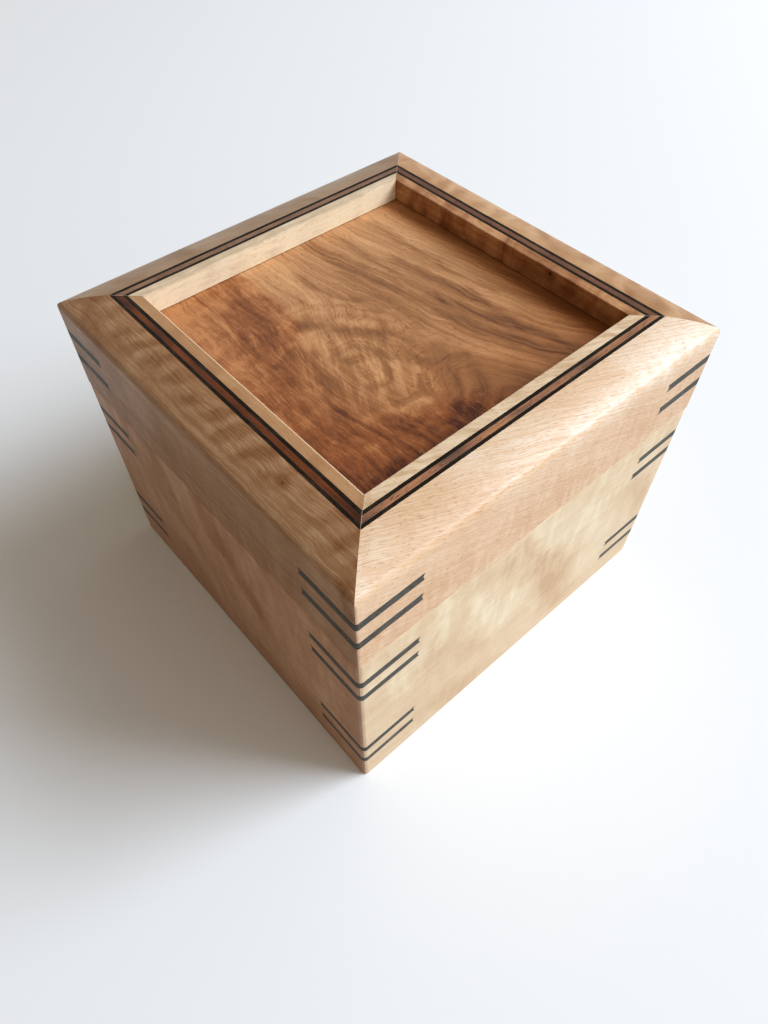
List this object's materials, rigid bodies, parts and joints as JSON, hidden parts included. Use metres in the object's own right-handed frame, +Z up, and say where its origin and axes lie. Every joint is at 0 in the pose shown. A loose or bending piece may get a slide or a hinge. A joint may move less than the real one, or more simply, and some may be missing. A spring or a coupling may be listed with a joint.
{
  "type": "wooden puzzle box",
  "caption": "Square mitred wooden box with keyed corners and a lift-off lid, locked by a tongue under a sunk panel that slides inside the lid.",
  "frame": {"origin": "centre of the base, on the surface that the box stands on", "axes": "+Z up, -Y is the front, and the panel slides towards +Y to lock the lid"},
  "size_m": [0.14, 0.14, 0.1155],
  "materials": {
    "figured_maple": "oiled figured maple, light honey",
    "pale_maple": "oiled pale maple",
    "plain_maple": "plain maple, waxed",
    "dark_lining": "oiled plain walnut",
    "black_wood": "black dyed hardwood",
    "red_wood": "red-brown hardwood, oiled",
    "figured_walnut": "oiled figured walnut",
    "brass": "turned brass",
    "bright_steel": "nickel-plated magnet"
  },
  "bodies": {
    "box": {"body_side_front": "figured_maple", "body_side_right": "figured_maple", "body_side_back": "figured_maple", "body_side_left": "figured_maple", "bottom_board": "pale_maple", "lining_front": "dark_lining", "lining_right": "dark_lining", "lining_back": "dark_lining", "lining_left": "dark_lining", "keeper_strip": "dark_lining", "rim_keys_front_right": "black_wood", "rim_keys_back_right": "black_wood", "rim_keys_back_left": "black_wood", "rim_keys_front_left": "black_wood", "base_keys_front_right": "black_wood", "base_keys_back_right": "black_wood", "base_keys_back_left": "black_wood", "base_keys_front_left": "black_wood"},
    "lid": {"lid_rail_front": "figured_maple", "lid_rail_right": "figured_maple", "lid_rail_back": "figured_maple", "lid_rail_left": "figured_maple", "outer_line_front": "black_wood", "outer_line_right": "black_wood", "outer_line_back": "black_wood", "outer_line_left": "black_wood", "red_band_front": "red_wood", "red_band_right": "red_wood", "red_band_back": "red_wood", "red_band_left": "red_wood", "inner_line_front": "black_wood", "inner_line_right": "black_wood", "inner_line_back": "black_wood", "inner_line_left": "black_wood", "lip_front": "pale_maple", "lip_right": "pale_maple", "lip_back": "pale_maple", "lip_left": "pale_maple", "runner_front": "plain_maple", "runner_right": "plain_maple", "runner_back": "plain_maple", "runner_left": "plain_maple", "lid_keys_front_right": "black_wood", "lid_keys_back_right": "black_wood", "lid_keys_back_left": "black_wood", "lid_keys_front_left": "black_wood", "rail_magnets": "bright_steel"},
    "panel": {"lid_panel": "figured_walnut", "lock_batten": "plain_maple", "lock_block": "plain_maple", "lock_tongue": "dark_lining", "batten_screws": "brass", "panel_magnets": "bright_steel"}
  },
  "joints": [
    {"name": "lid_lift", "type": "slide", "parent": "box", "child": "lid", "axis": [0, 0, 1], "range_m": [0, 0.07]},
    {"name": "panel_slide", "type": "slide", "parent": "lid", "child": "panel", "axis": [0, 1, 0], "range_m": [0, 0.005]}
  ]
}
